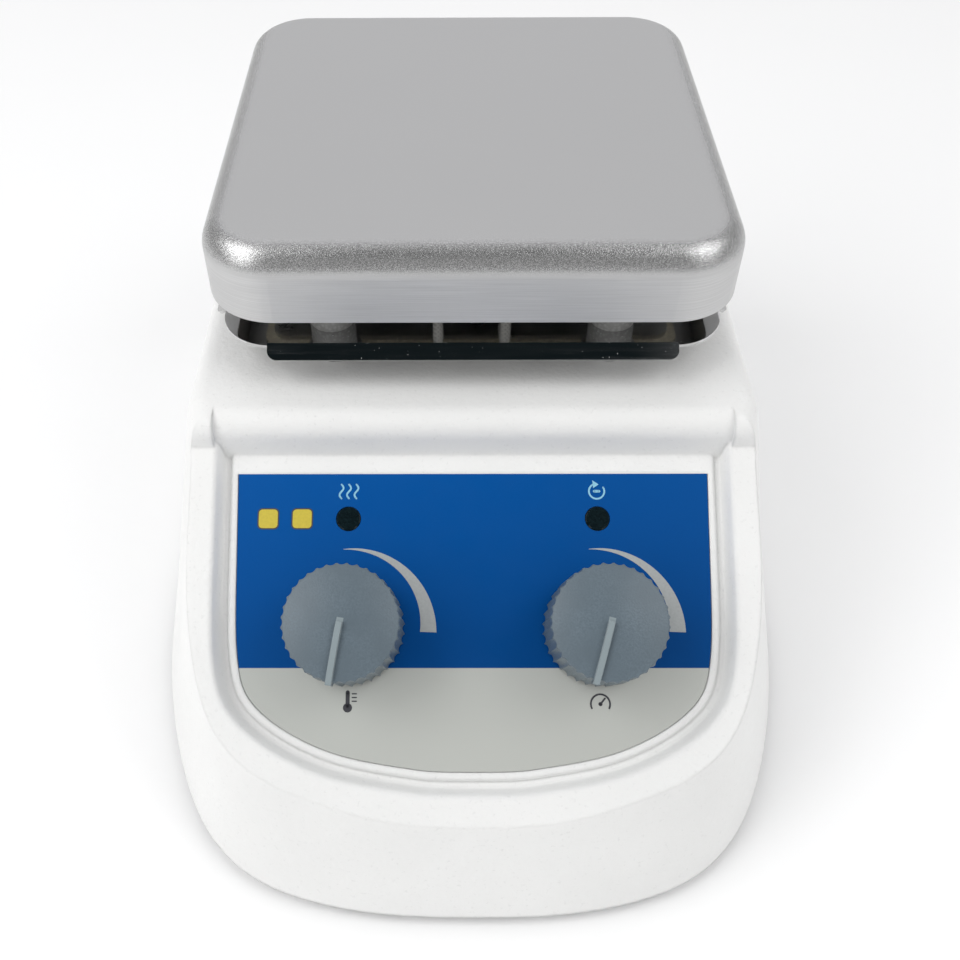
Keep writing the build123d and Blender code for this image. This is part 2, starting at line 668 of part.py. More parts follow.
def ring_on_shaft(low_z, height, radius):
    """Round part pressed on the motor shaft."""
    with BuildPart() as ring:
        with BuildSketch(level(low_z)):
            Circle(radius)
            Circle(SHAFT_RADIUS, mode=Mode.SUBTRACT)
        extrude(amount=height)
    return ring.part


save(ring_on_shaft(28.0, 4.0, 4.6), "commutator")
ARMATURE_BOTTOM_Z = 36.5
with BuildPart() as armature_core:
    with BuildSketch(level(ARMATURE_BOTTOM_Z)):
        Circle(14.8)
        Circle(SHAFT_RADIUS, mode=Mode.SUBTRACT)
        with PolarLocations(11.4, 5):
            Circle(2.6, mode=Mode.SUBTRACT)
        with PolarLocations(14, 5):
            Rectangle(4, 1.4, mode=Mode.SUBTRACT)
    extrude(amount=19)
save(armature_core.part, "armature_core")
with BuildPart() as armature_winding:
    for low_z in (ARMATURE_BOTTOM_Z - 4, ARMATURE_BOTTOM_Z + 19):
        with BuildSketch(level(low_z)):
            Circle(13.2)
            Circle(5.2, mode=Mode.SUBTRACT)
        extrude(amount=4)
save(armature_winding.part, "armature_winding")

HOLDER_BOTTOM_Z = 74.0
HOLDER_RADIUS = 30.0
HOLDER_HEIGHT = 6.0
HUB_BOTTOM_Z = 70.2
MAGNET_PLACE = 19.0
MAGNET_RADIUS = 8.0
MAGNET_BOTTOM_Z = 76.2
MAGNET_HEIGHT = 9.0
with BuildPart() as magnet_holder:
    with BuildSketch(level(HOLDER_BOTTOM_Z)):
        Circle(HOLDER_RADIUS)
    extrude(amount=HOLDER_HEIGHT)
    with BuildSketch(level(HUB_BOTTOM_Z)):
        Circle(8)
    extrude(amount=HOLDER_BOTTOM_Z - HUB_BOTTOM_Z)
    with BuildSketch(level(HUB_BOTTOM_Z)):
        Circle(SHAFT_RADIUS)
    extrude(amount=HOLDER_HEIGHT * 2, mode=Mode.SUBTRACT)
    with BuildSketch(level(MAGNET_BOTTOM_Z)):
        with Locations((MAGNET_PLACE, 0), (-MAGNET_PLACE, 0)):
            Circle(MAGNET_RADIUS)
    extrude(amount=HOLDER_HEIGHT, mode=Mode.SUBTRACT)
    with BuildSketch(Plane(origin=(0, PLATE_Y, 72.1), x_dir=(1, 0, 0), z_dir=(0, 1, 0))):
        Circle(1.5)
    extrude(amount=10, mode=Mode.SUBTRACT)
save(magnet_holder.part, "magnet_holder")

with BuildPart() as drive_magnets:
    with BuildSketch(level(MAGNET_BOTTOM_Z)):
        with Locations((MAGNET_PLACE, 0), (-MAGNET_PLACE, 0)):
            Circle(MAGNET_RADIUS)
    extrude(amount=MAGNET_HEIGHT)
    chamfer(drive_magnets.edges().group_by(Axis.Z)[-1], 0.5)
save(drive_magnets.part, "drive_magnets")

with BuildPart() as set_screw:
    with BuildSketch(Plane(origin=(0, PLATE_Y + SHAFT_RADIUS, 72.1), x_dir=(1, 0, 0), z_dir=(0, 1, 0))):
        Circle(1.5)
        RegularPolygon(0.9, 6, mode=Mode.SUBTRACT)
    extrude(amount=5)
save(set_screw.part, "set_screw")


# ---- control panel ----
with BuildPart() as control_label:
    with BuildSketch(panel_plane(depth=PAD_DEPTH + LABEL_THICKNESS)) as face:
        add(label_outline())
        with Locations((KNOB_X, -KNOB_V), (-KNOB_X, -KNOB_V)):
            Circle(BUSHING_HOLE, mode=Mode.SUBTRACT)
        with Locations((LAMP_X, -LAMP_V), (-LAMP_X, -LAMP_V)):
            Circle(LAMP_RADIUS + 0.1, mode=Mode.SUBTRACT)
    extrude(amount=LABEL_THICKNESS)
save(control_label.part, "control_label")

POT_TOP_DEPTH = CEILING_DEPTH + 0.1
POT_THICKNESS = 9.3
POT_RADIUS = 8.5
BUSHING_RADIUS = 3.5
BUSHING_TOP_DEPTH = 0.8
POT_SHAFT_RADIUS = 3.0
POT_SHAFT_TOP = -11.0         # depth of the shaft's end, above the rim plane
POT_SHAFT_BOTTOM = POT_TOP_DEPTH + 6.0
NUT_HEIGHT = 2.2
KNOB_BASE_DEPTH = PAD_DEPTH - KNOB_GAP


def pot_body(x):
    """Potentiometer case with its threaded bushing and three terminals."""
    with BuildPart() as body:
        with BuildSketch(panel_plane(x, KNOB_V, POT_TOP_DEPTH + POT_THICKNESS)):
            Circle(POT_RADIUS)
        extrude(amount=POT_THICKNESS)
        with BuildSketch(panel_plane(x, KNOB_V, POT_TOP_DEPTH)):
            Circle(BUSHING_RADIUS)
        extrude(amount=POT_TOP_DEPTH - BUSHING_TOP_DEPTH)
        with BuildSketch(panel_plane(x, KNOB_V, POT_SHAFT_BOTTOM + 0.2)):
            Circle(POT_SHAFT_RADIUS + RUNNING_GAP)
        extrude(amount=POT_SHAFT_BOTTOM + 5, mode=Mode.SUBTRACT)
        with BuildSketch(panel_plane(x, KNOB_V, POT_TOP_DEPTH + 3.5)):
            with Locations((-5, POT_RADIUS + 1.4), (0, POT_RADIUS + 1.4), (5, POT_RADIUS + 1.4)):
                Rectangle(1.6, 7)
        extrude(amount=0.8)
    return body.part


with BuildPart() as pot_nuts:
    with BuildSketch(panel_plane(0, KNOB_V, PAD_DEPTH - 0.1)):
        with Locations((KNOB_X, 0), (-KNOB_X, 0)):
            RegularPolygon(5.8, 6)
            Circle(BUSHING_RADIUS, mode=Mode.SUBTRACT)
    extrude(amount=NUT_HEIGHT)
save(pot_nuts.part, "pot_nuts")


def pot_shaft(x):
    with BuildPart() as shaft:
        with BuildSketch(panel_plane(x, KNOB_V, POT_SHAFT_BOTTOM)):
            Circle(POT_SHAFT_RADIUS)
        extrude(amount=POT_SHAFT_BOTTOM - POT_SHAFT_TOP)
    return shaft.part


KNOB_TOP_RADIUS = 12.3
KNOB_FACE_HEIGHT = 17.8
KNOB_RIM_ROUND = 0.4
SCALLOP_RADIUS = 1.3
SCALLOP_DEPTH = 0.9           # at the foot of the knob; less towards the face
POINTER_WIDTH = 1.3
POINTER_RISE = 0.9
POINTER_REACH = 12.9


def knob(x, clock):
    """Knob with a crowned face, a scalloped skirt and a raised pointer."""
    base = panel_plane(x, KNOB_V, KNOB_BASE_DEPTH)
    with BuildPart() as body:
        with BuildSketch(profile_plane(base)):
            with BuildLine():
                round_x = KNOB_TOP_RADIUS - KNOB_RIM_ROUND
                round_z = KNOB_FACE_HEIGHT + KNOB_RIM_ROUND
                Polyline((0, 0), (KNOB_RADIUS, 0), (KNOB_TOP_RADIUS, KNOB_FACE_HEIGHT), (round_x, round_z))
                ThreePointArc((round_x, round_z), (round_x / 2, KNOB_HEIGHT - 0.45), (0, KNOB_HEIGHT))
                Line((0, KNOB_HEIGHT), (0, 0))
            make_face()
        revolve(axis=turning_axis(base))
        with BuildSketch(base):
            with PolarLocations(KNOB_RADIUS + SCALLOP_RADIUS - SCALLOP_DEPTH, KNOB_SCALLOPS):
                Circle(SCALLOP_RADIUS)
        extrude(amount=KNOB_HEIGHT, mode=Mode.SUBTRACT)
        with BuildSketch(profile_plane(turned(base, 90 - clock))):
            with BuildLine():
                foot = KNOB_FACE_HEIGHT - 3.0
                tip_z = KNOB_FACE_HEIGHT + POINTER_RISE
                Polyline((0, KNOB_HEIGHT + POINTER_RISE), (0, foot), (POINTER_REACH, foot), (POINTER_REACH, tip_z))
                ThreePointArc((POINTER_REACH, tip_z), (POINTER_REACH / 2, KNOB_HEIGHT + POINTER_RISE - 0.6),
                              (0, KNOB_HEIGHT + POINTER_RISE))
            make_face()
        extrude(amount=POINTER_WIDTH / 2, both=True)
        with BuildSketch(base):
            Circle(7.2)
        extrude(amount=3.6, mode=Mode.SUBTRACT)
        with BuildSketch(base):
            Circle(POT_SHAFT_RADIUS)
        extrude(amount=KNOB_BASE_DEPTH - POT_SHAFT_TOP + 0.3, mode=Mode.SUBTRACT)
    return body.part


def lamp_lens(x):
    """Dark window over an indicator lamp, just proud of the label."""
    with BuildPart() as lens:
        with BuildSketch(panel_plane(x, LAMP_V, PAD_DEPTH + 5)):
            Circle(LAMP_RADIUS)
        extrude(amount=5.2)
        chamfer(lens.faces().sort_by(Axis((0, 0, 0), PANEL_NORMAL))[-1].edges(), 0.25)
    return lens.part


with BuildPart() as lamp_diodes:
    with BuildSketch(panel_plane(0, LAMP_V, PAD_DEPTH + 12)):
        with Locations((LAMP_X, 0), (-LAMP_X, 0)):
            Circle(2.4)
    extrude(amount=6.8)
    with BuildSketch(panel_plane(0, LAMP_V, PAD_DEPTH + 20)):
        with Locations((LAMP_X, 0), (-LAMP_X, 0)):
            with Locations((1.27, 0), (-1.27, 0)):
                Rectangle(0.6, 0.6)
    extrude(amount=8)
save(lamp_diodes.part, "lamp_diodes")

for side, x, clock in (("heat", -KNOB_X, HEAT_KNOB_CLOCK), ("speed", KNOB_X, SPEED_KNOB_CLOCK)):
    save(pot_body(x), f"{side}_pot_body")
    save(pot_shaft(x), f"{side}_pot_shaft")
    save(knob(x, clock), f"{side}_knob")
save(lamp_lens(-LAMP_X), "heat_lamp_lens")
save(lamp_lens(LAMP_X), "stir_lamp_lens")


# ---- control board ----
SPACER_X = 43.0
SPACER_Y = 24.0
with BuildPart() as control_board:
    with BuildSketch(level(BOARD_BOTTOM_Z, y=BOARD_Y)):
        Rectangle(*BOARD_SIZE)
        with GridLocations(2 * SPACER_X, 2 * SPACER_Y, 2, 2):
            Circle(1.6, mode=Mode.SUBTRACT)
    extrude(amount=BOARD_SHEET)
save(control_board.part, "control_board")

with BuildPart() as board_spacers:
    with BuildSketch(level(BASE_TOP_Z, y=BOARD_Y)):
        with GridLocations(2 * SPACER_X, 2 * SPACER_Y, 2, 2):
            RegularPolygon(3.2, 6)
            Circle(1.5, mode=Mode.SUBTRACT)
    extrude(amount=BOARD_BOTTOM_Z - BASE_TOP_Z)
save(board_spacers.part, "board_spacers")

with BuildPart() as board_screws:
    with BuildSketch(level(BOARD_TOP_Z, y=BOARD_Y)):
        with GridLocations(2 * SPACER_X, 2 * SPACER_Y, 2, 2):
            Circle(2.7)
    extrude(amount=1.8)
    with BuildSketch(level(BOARD_TOP_Z - 6, y=BOARD_Y)):
        with GridLocations(2 * SPACER_X, 2 * SPACER_Y, 2, 2):
            Circle(1.45)
    extrude(amount=6)
save(board_screws.part, "board_screws")

with BuildPart() as terminal_block:
    with BuildSketch(level(BOARD_TOP_Z, y=TERMINAL_REAR_Y - 4)):
        Rectangle(30, 8)
    extrude(amount=9)
    with BuildSketch(level(BOARD_TOP_Z + 7, y=TERMINAL_REAR_Y - 4)):
        with GridLocations(5, 0, 6, 1):
            Circle(1.6)
    extrude(amount=2, mode=Mode.SUBTRACT)
save(terminal_block.part, "terminal_block")

with BuildPart() as transformer_core:
    with BuildSketch(level(BOARD_TOP_Z, y=-48)):
        Rectangle(36, 26)
    extrude(amount=24)
    with BuildSketch(Plane(origin=(0, -48, BOARD_TOP_Z + 12), x_dir=(1, 0, 0), z_dir=(0, -1, 0))):
        with Locations((-9, 0), (9, 0)):
            Rectangle(7, 14)
    extrude(amount=30, both=True, mode=Mode.SUBTRACT)
save(transformer_core.part, "transformer_core")

with BuildPart() as transformer_winding:
    with BuildSketch(level(BOARD_TOP_Z + 5.4, y=-48)):
        Rectangle(24.6, 32)
        Rectangle(11.2, 26.2, mode=Mode.SUBTRACT)
    extrude(amount=13.2)
save(transformer_winding.part, "transformer_winding")

with BuildPart() as smoothing_capacitor:
    with BuildSketch(level(BOARD_TOP_Z, -38, -38)):
        Circle(7)
    extrude(amount=18)
    fillet(smoothing_capacitor.edges().group_by(Axis.Z)[-1], 1.0)
save(smoothing_capacitor.part, "smoothing_capacitor")

with BuildPart() as heat_sink:
    with BuildSketch(level(BOARD_TOP_Z, 38, -34)):
        Rectangle(16, 3)
        with GridLocations(3.6, 0, 5, 1):
            with Locations((0, -5)):
                Rectangle(1.2, 9)
    extrude(amount=20)
save(heat_sink.part, "heat_sink")

with BuildPart() as heater_triac:
    with BuildSketch(level(BOARD_TOP_Z + 2, 38, -30.2)):
        Rectangle(10, 4.4)
    extrude(amount=14)
save(heater_triac.part, "heater_triac")


# ---- mains entry, fuse and power switch ----
FLANGE = 2.0
PIN_BACK = 7.0
INLET_DEPTH = 22.0
INLET_HOLLOW = 17.0
PINS = [(-7, -1.5), (0, 2.5), (7, -1.5)]

with BuildPart() as inlet_body:
    with BuildSketch(rear_plane(INLET_X)):
        Rectangle(*INLET_BODY)
    extrude(amount=INLET_DEPTH)
    with BuildSketch(rear_plane(INLET_X)):
        RectangleRounded(50, 23, 5)
    extrude(amount=-FLANGE)
    with BuildSketch(rear_plane(INLET_X, REAR_PANEL_Y + FLANGE)) as socket:
        Rectangle(24.4, 16.6)
        chamfer(socket.vertices().group_by(Axis.Y)[-1], 4.2)
    extrude(amount=INLET_HOLLOW, mode=Mode.SUBTRACT)
    with BuildSketch(rear_plane(INLET_X)):
        with Locations(*PINS):
            Rectangle(2, 4)
    extrude(amount=INLET_DEPTH, mode=Mode.SUBTRACT)
    with BuildSketch(rear_plane(INLET_X, REAR_PANEL_Y + FLANGE)):
        with Locations((INLET_SCREW_X, 0), (-INLET_SCREW_X, 0)):
            Circle(1.6)
    extrude(amount=FLANGE, mode=Mode.SUBTRACT)
save(inlet_body.part, "inlet_body")

with BuildPart() as inlet_pins:
    with BuildSketch(rear_plane(INLET_X, REAR_PANEL_Y - 1)):
        with Locations(*PINS):
            Rectangle(2, 4)
    extrude(amount=INLET_DEPTH + PIN_BACK - 1)
save(inlet_pins.part, "inlet_pins")

with BuildPart() as inlet_screws:
    with BuildSketch(rear_plane(INLET_X, REAR_PANEL_Y + FLANGE)):
        with Locations((INLET_SCREW_X, 0), (-INLET_SCREW_X, 0)):
            Circle(2.8)
    extrude(amount=-1.6)
    with BuildSketch(rear_plane(INLET_X, REAR_PANEL_Y + FLANGE)):
        with Locations((INLET_SCREW_X, 0), (-INLET_SCREW_X, 0)):
            Circle(1.5)
    extrude(amount=9)
    with BuildSketch(rear_plane(INLET_X, REAR_PANEL_Y + FLANGE + 1.6)):
        with Locations((INLET_SCREW_X, 0), (-INLET_SCREW_X, 0)):
            Rectangle(3.4, 0.7)
            Rectangle(0.7, 3.4)
    extrude(amount=0.9, mode=Mode.SUBTRACT)
save(inlet_screws.part, "inlet_screws")

with BuildPart() as inlet_nuts:
    with BuildSketch(rear_plane(INLET_X, REAR_INSIDE_Y)):
        with Locations((INLET_SCREW_X, 0), (-INLET_SCREW_X, 0)):
            RegularPolygon(3.2, 6)
            Circle(1.5, mode=Mode.SUBTRACT)
    extrude(amount=2.4)
save(inlet_nuts.part, "inlet_nuts")

FUSE_LENGTH = 20.0
FUSE_BORE = 2.8
with BuildPart() as fuse_holder:
    with BuildSketch(rear_plane(FUSE_X)):
        Circle(FUSE_BODY_RADIUS)
    extrude(amount=26)
    with BuildSketch(rear_plane(FUSE_X)):
        Circle(8.4)
    extrude(amount=-FLANGE)
    with BuildSketch(rear_plane(FUSE_X, REAR_PANEL_Y + FLANGE)):
        Circle(FUSE_BORE)
    extrude(amount=FLANGE + 24, mode=Mode.SUBTRACT)
save(fuse_holder.part, "fuse_holder")

with BuildPart() as fuse_cap:
    with BuildSketch(rear_plane(FUSE_X, REAR_PANEL_Y + FLANGE)):
        Circle(6.4)
    extrude(amount=-1.8)
    with BuildSketch(rear_plane(FUSE_X, REAR_PANEL_Y + FLANGE)):
        Circle(FUSE_BORE - 0.1)
    extrude(amount=3.5)
    with BuildSketch(rear_plane(FUSE_X, REAR_PANEL_Y + FLANGE + 1.8)):
        Rectangle(8, 1.2)
    extrude(amount=1.0, mode=Mode.SUBTRACT)
save(fuse_cap.part, "fuse_cap")

with BuildPart() as fuse_link:
    with BuildSketch(rear_plane(FUSE_X, REAR_PANEL_Y - 2)):
        Circle(2.5)
    extrude(amount=FUSE_LENGTH)
save(fuse_link.part, "fuse_link")

PIVOT_Y = REAR_PANEL_Y - 1.5
PIVOT_RADIUS = 0.8
ROCKER_HALF = 7.4
ROCKER_WIDTH = 10.4
ROCKER_TILT = 9.0             # each way from level
with BuildPart() as switch_body:
    with BuildSketch(rear_plane(SWITCH_X)):
        Rectangle(*SWITCH_BODY)
    extrude(amount=15)
    with BuildSketch(rear_plane(SWITCH_X)):
        RectangleRounded(15, 21, 1.5)
    extrude(amount=-FLANGE)
    with BuildSketch(rear_plane(SWITCH_X, REAR_PANEL_Y + FLANGE)):
        Rectangle(11, 16.8)
    extrude(amount=9, mode=Mode.SUBTRACT)
    with BuildSketch(Plane(origin=(SWITCH_X, PIVOT_Y, REAR_RECESS_Z), z_dir=(1, 0, 0))):
        Circle(PIVOT_RADIUS)
    extrude(amount=6, both=True, mode=Mode.SUBTRACT)
    with BuildSketch(rear_plane(SWITCH_X, REAR_PANEL_Y - 15)):
        with Locations((0, -5), (0, 5)):
            Rectangle(4.8, 0.8)
    extrude(amount=7)
save(switch_body.part, "switch_body")

ROCKER_PLANE = Plane(origin=(SWITCH_X, PIVOT_Y, REAR_RECESS_Z), x_dir=(0, 1, 0), z_dir=(1, 0, 0))
with BuildPart() as switch_rocker:
    with BuildSketch(turned(ROCKER_PLANE, -ROCKER_TILT)):
        with BuildLine():
            Polyline((4.4, -ROCKER_HALF), (3.4, 0), (4.4, ROCKER_HALF), (2.0, ROCKER_HALF), (-1.8, 2.2),
                     (-1.8, -2.2), (2.0, -ROCKER_HALF), close=True)
        make_face()
        Circle(PIVOT_RADIUS + RUNNING_GAP, mode=Mode.SUBTRACT)
    extrude(amount=ROCKER_WIDTH / 2, both=True)
save(switch_rocker.part, "switch_rocker")

with BuildPart() as rocker_pin:
    with BuildSketch(Plane(origin=(SWITCH_X, PIVOT_Y, REAR_RECESS_Z), z_dir=(1, 0, 0))):
        Circle(PIVOT_RADIUS)
    extrude(amount=5.9, both=True)
save(rocker_pin.part, "rocker_pin")
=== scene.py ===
import json
import math

import bmesh
import bpy
from mathutils import Matrix, Vector


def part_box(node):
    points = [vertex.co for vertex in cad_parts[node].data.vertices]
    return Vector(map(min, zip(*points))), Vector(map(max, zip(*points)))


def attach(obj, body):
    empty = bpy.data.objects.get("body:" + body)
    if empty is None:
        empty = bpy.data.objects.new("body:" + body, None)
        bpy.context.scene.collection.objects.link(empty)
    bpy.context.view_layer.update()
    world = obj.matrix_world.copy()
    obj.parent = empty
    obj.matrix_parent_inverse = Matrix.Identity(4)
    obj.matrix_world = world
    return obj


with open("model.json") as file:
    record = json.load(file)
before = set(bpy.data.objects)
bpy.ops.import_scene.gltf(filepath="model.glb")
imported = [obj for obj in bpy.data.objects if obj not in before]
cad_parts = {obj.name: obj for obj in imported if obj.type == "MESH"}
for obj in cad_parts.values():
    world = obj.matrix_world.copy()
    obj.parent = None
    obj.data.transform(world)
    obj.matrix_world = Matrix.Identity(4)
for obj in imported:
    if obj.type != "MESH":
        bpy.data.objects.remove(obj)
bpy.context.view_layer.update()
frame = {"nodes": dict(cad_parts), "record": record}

MM = 0.001


# ---- node materials ----
class Look:
    """A procedural material, built up from one Principled shader."""

    def __init__(self, name, color, roughness, metallic=0.0):
        self.material = bpy.data.materials.new(name)
        self.material.use_nodes = True
        self.tree = self.material.node_tree
        self.shader = self.tree.nodes["Principled BSDF"]
        self.shader.inputs["Metallic"].default_value = metallic
        self.coordinates = self.tree.nodes.new("ShaderNodeTexCoord")
        self.place = self.coordinates.outputs["Object"]
        self.put("Base Color", color)
        self.put("Roughness", roughness)

    def fill(self, socket, value):
        """Links a socket, or sets its own value."""
        if isinstance(value, bpy.types.NodeSocket):
            self.tree.links.new(value, socket)
        elif isinstance(value, tuple) and len(value) == 3 and socket.type == "RGBA":
            socket.default_value = (*value, 1.0)
        else:
            socket.default_value = value

    def put(self, name, value):
        self.fill(self.shader.inputs[name], value)

    def math(self, operation, first, second=0.0):
        node = self.tree.nodes.new("ShaderNodeMath")
        node.operation = operation
        self.fill(node.inputs[0], first)
        self.fill(node.inputs[1], second)
        return node.outputs[0]

    def mix(self, factor, first, second):
        node = self.tree.nodes.new("ShaderNodeMix")
        node.data_type = "RGBA"
        self.fill(node.inputs[0], factor)
        self.fill(node.inputs[6], first)
        self.fill(node.inputs[7], second)
        return node.outputs[2]

    def span(self, value, low, high, start=0.0, end=1.0):
        """Follows value from low to high, and gives start to end."""
        node = self.tree.nodes.new("ShaderNodeMapRange")
        for socket, number in zip(node.inputs, (value, low, high, start, end)):
            self.fill(socket, number)
        return node.outputs[0]

    def stretched(self, x, y, z):
        """Coordinates scaled differently along each axis."""
        node = self.tree.nodes.new("ShaderNodeMapping")
        self.fill(node.inputs["Vector"], self.place)
        node.inputs["Scale"].default_value = (x, y, z)
        return node.outputs[0]

    def noise(self, size, detail=3.0, where=None):
        """Noise with features of about this size, in metres."""
        node = self.tree.nodes.new("ShaderNodeTexNoise")
        self.fill(node.inputs["Vector"], where or self.place)
        node.inputs["Scale"].default_value = 1.0 / size
        node.inputs["Detail"].default_value = detail
        return node.outputs["Fac"]

    def cells(self, size):
        """Distance to the middle of the nearest of many cells of about this size."""
        node = self.tree.nodes.new("ShaderNodeTexVoronoi")
        self.fill(node.inputs["Vector"], self.place)
        node.inputs["Scale"].default_value = 1.0 / size
        return node.outputs["Distance"]

    def along(self, direction, origin=(0.0, 0.0, 0.0)):
        """Distance from an origin, measured along a direction."""
        move = self.tree.nodes.new("ShaderNodeVectorMath")
        move.operation = "SUBTRACT"
        self.fill(move.inputs[0], self.place)
        move.inputs[1].default_value = origin
        dot = self.tree.nodes.new("ShaderNodeVectorMath")
        dot.operation = "DOT_PRODUCT"
        self.fill(dot.inputs[0], move.outputs[0])
        dot.inputs[1].default_value = direction
        return dot.outputs["Value"]

    def facing(self, direction):
        """How far the surface faces a direction, from -1 to 1."""
        dot = self.tree.nodes.new("ShaderNodeVectorMath")
        dot.operation = "DOT_PRODUCT"
        self.fill(dot.inputs[0], self.coordinates.outputs["Normal"])
        dot.inputs[1].default_value = direction
        return dot.outputs["Value"]

    def bump(self, height, distance, under=None, strength=1.0):
        node = self.tree.nodes.new("ShaderNodeBump")
        node.inputs["Distance"].default_value = distance
        node.inputs["Strength"].default_value = strength
        self.fill(node.inputs["Height"], height)
        if under is not None:
            self.fill(node.inputs["Normal"], under)
        self.put("Normal", node.outputs[0])
        return node.outputs[0]

    def soft_edges(self, radius):
        node = self.tree.nodes.new("ShaderNodeBevel")
        node.samples = 6
        node.inputs["Radius"].default_value = radius
        return node.outputs[0]


def shade(color, factor):
    return tuple(min(1.0, channel * factor) for channel in color)


def coated(name, color):
    """Powder coat: fine orange peel, with soft paint over every edge."""
    look = Look(name, color, 0.45)
    patches = look.noise(0.03, 4.0)
    pores = look.noise(0.0009, 2.0)
    tone = look.mix(look.span(patches, 0.35, 0.65), shade(color, 0.93), shade(color, 0.96))
    look.put("Base Color", look.mix(look.span(pores, 0.62, 0.8), tone, shade(color, 0.86)))
    look.put("Roughness", look.span(look.noise(0.002), 0.3, 0.7, 0.4, 0.54))
    look.put("Coat Weight", 0.1)
    look.put("Coat Roughness", 0.3)
    peel = look.bump(look.noise(0.0012, 2.0), 0.00022, look.soft_edges(0.0012), 0.6)
    look.bump(look.noise(0.00045, 2.0), 0.00006, peel, 0.6)
    return look.material


def blasted_plate(name, color):
    """Aluminium plate: fine blasted top, sparkling rounded edge with a painted dark reflection, and sides
    with fine level lines.
    """
    look = Look(name, color, 0.4, 1.0)
    up = look.facing((0.0, 0.0, 1.0))
    side = look.span(up, 0.3, 0.05)
    edge = look.math("MULTIPLY", look.span(up, 0.998, 0.95), look.span(up, 0.1, 0.35))
    grain = look.noise(0.0002, 2.0)
    lines = look.noise(0.0004, 3.0, look.stretched(0.02, 0.02, 3.0))
    clouds = look.noise(0.022, 4.0)
    blasted = look.mix(look.span(grain, 0.35, 0.65), shade(color, 0.58), shade(color, 0.7))
    blasted = look.mix(look.span(clouds, 0.3, 0.7), shade(color, 0.62), blasted)
    # the rounded edge's sparkle is grain, and its darker colour is a painted reflection of a dark surround
    sparks_and_dark_reflection = look.mix(look.span(grain, 0.4, 0.64), shade(color, 0.38), shade(color, 0.78))
    lined = look.mix(look.span(lines, 0.35, 0.65), shade(color, 0.7), shade(color, 0.8))
    look.put("Base Color", look.mix(side, look.mix(edge, blasted, sparks_and_dark_reflection), lined))
    rough = look.span(edge, 0.0, 1.0, 0.5, 0.24)
    look.put("Roughness", look.math("ADD", rough, look.span(clouds, 0.3, 0.7, -0.03, 0.03)))
    depth = look.math("MULTIPLY", grain, look.span(edge, 0.0, 1.0, 0.5, 1.6))
    look.bump(look.mix(side, depth, look.math("MULTIPLY", lines, 0.35)), 0.00006, None, 0.6)
    return look.material


def polished(name, color):
    """Mirror-polished sheet with hairline scratches and a little dust."""
    look = Look(name, shade(color, 0.7), 0.07, 1.0)
    hairlines = look.noise(0.002, 2.0, look.stretched(0.15, 4.0, 1.0))
    specks = look.span(look.noise(0.0004, 1.0), 0.74, 0.82)
    look.put("Base Color", look.mix(specks, shade(color, 0.7), color))
    rough = look.span(hairlines, 0.4, 0.7, 0.04, 0.12)
    look.put("Roughness", look.math("MAXIMUM", rough, look.math("MULTIPLY", specks, 0.4)))
    look.bump(look.noise(0.02, 2.0), 0.0002, None, 0.25)
    return look.material


def worked_metal(name, color, roughness=0.32, line=0.0006):
    """Turned, drawn or plated metal: fine lines, and duller patches from handling."""
    look = Look(name, color, roughness, 1.0)
    lines = look.noise(line, 3.0, look.stretched(0.25, 0.25, 3.0))
    patches = look.noise(0.006, 4.0)
    tone = look.mix(look.span(patches, 0.35, 0.7), shade(color, 0.84), shade(color, 1.04))
    look.put("Base Color", look.mix(look.span(lines, 0.3, 0.7, 0.0, 0.35), tone, shade(color, 0.9)))
    look.put("Roughness", look.span(patches, 0.3, 0.7, roughness - 0.06, roughness + 0.1))
    look.bump(lines, 0.00004, None, 0.4)
    return look.material


def moulded(name, color):
    """Moulded plastic with a fine spark-eroded grain."""
    look = Look(name, color, 0.45)
    texture = look.noise(0.00045, 2.0)
    patches = look.noise(0.008, 3.0)
    look.put("Base Color", look.mix(look.span(patches, 0.35, 0.65), shade(color, 0.92), shade(color, 1.05)))
    look.put("Roughness", look.span(texture, 0.3, 0.7, 0.4, 0.53))
    look.bump(texture, 0.00004, look.soft_edges(0.0003), 0.6)
    return look.material


def speckled(name, color, roughness=0.7, fleck=0.0009):
    """Ceramic, mica, ferrite or carbon: a matt body with small flecks."""
    look = Look(name, color, roughness)
    flecks = look.span(look.cells(fleck), 0.2, 0.6)
    clouds = look.noise(0.006, 4.0)
    body = look.mix(look.span(clouds, 0.3, 0.7), shade(color, 0.86), color)
    look.put("Base Color", look.mix(flecks, shade(color, 1.18), body))
    look.put("Roughness", look.span(clouds, 0.3, 0.7, roughness - 0.08, roughness + 0.08))
    look.bump(look.noise(fleck * 0.6), 0.00006, None, 0.6)
    return look.material


def woven(name, color):
    """Braided glass sleeve: two sets of crossing threads."""
    look = Look(name, color, 0.8)
    threads = []
    for direction in ((0.6, 0.6, 0.55), (-0.6, -0.6, 0.55)):
        turns = look.math("MULTIPLY", look.along(direction), 2 * math.pi / 0.0007)
        threads.append(look.span(look.math("SINE", turns), -1.0, 1.0))
    braid = look.math("MAXIMUM", *threads)
    look.put("Base Color", look.mix(braid, shade(color, 0.62), color))
    look.put("Sheen Weight", 0.3)
    look.bump(braid, 0.00012, None, 0.8)
    return look.material


def board(name, color):
    """Circuit board: solder mask over copper tracks."""
    look = Look(name, color, 0.35)
    tracks = look.tree.nodes.new("ShaderNodeTexBrick")
    look.fill(tracks.inputs["Vector"], look.place)
    tracks.inputs["Scale"].default_value = 120.0
    tracks.inputs["Mortar Size"].default_value = 0.03
    tracks.inputs["Mortar Smooth"].default_value = 0.3
    track = tracks.outputs["Fac"]
    tone = look.mix(look.span(look.noise(0.01), 0.3, 0.7), shade(color, 0.85), color)
    look.put("Base Color", look.mix(track, tone, shade(color, 1.7)))
    look.bump(track, 0.00005, None, 0.6)
    return look.material


SMOKE_DARK = (0.004, 0.009, 0.011)
SMOKE_LIGHT = (0.006, 0.016, 0.019)


